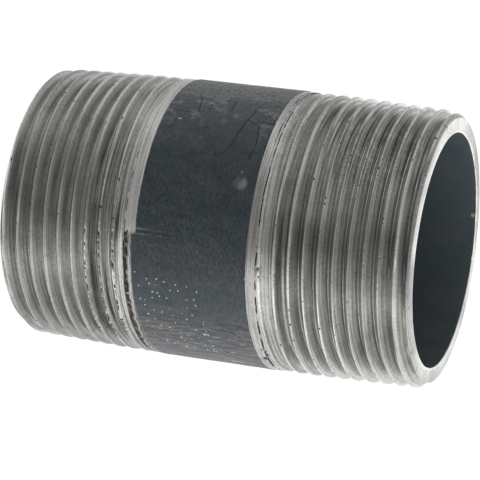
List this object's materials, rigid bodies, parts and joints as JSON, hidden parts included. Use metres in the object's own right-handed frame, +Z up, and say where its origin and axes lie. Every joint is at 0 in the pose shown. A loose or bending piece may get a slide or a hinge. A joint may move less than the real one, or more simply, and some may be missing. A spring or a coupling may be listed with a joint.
{
  "type": "threaded pipe nipple",
  "caption": "Short straight steel pipe nipple: tapered pipe thread on both ends, black lacquered band between them and an open bore.",
  "frame": {"origin": "on the bore's axis at mid-length", "axes": "+X along the pipe towards the near end, +Z up with the pipe lying on its side; the weld seam is on the -Y side"},
  "size_m": [0.0636, 0.0422, 0.0422],
  "materials": {
    "bare_steel": "die-cut, oily satin",
    "weld_steel": "die-cut, oily satin",
    "outer_lacquer": "semi-gloss lacquer over mill scale",
    "bore_lacquer": "thin semi-gloss lacquer",
    "ink": "matt ink"
  },
  "bodies": {
    "root": {"pipe_wall": "bare_steel", "weld_seam": "weld_steel", "outer_lacquer": "outer_lacquer", "bore_lacquer": "bore_lacquer", "ink_dots": "ink"}
  },
  "joints": []
}
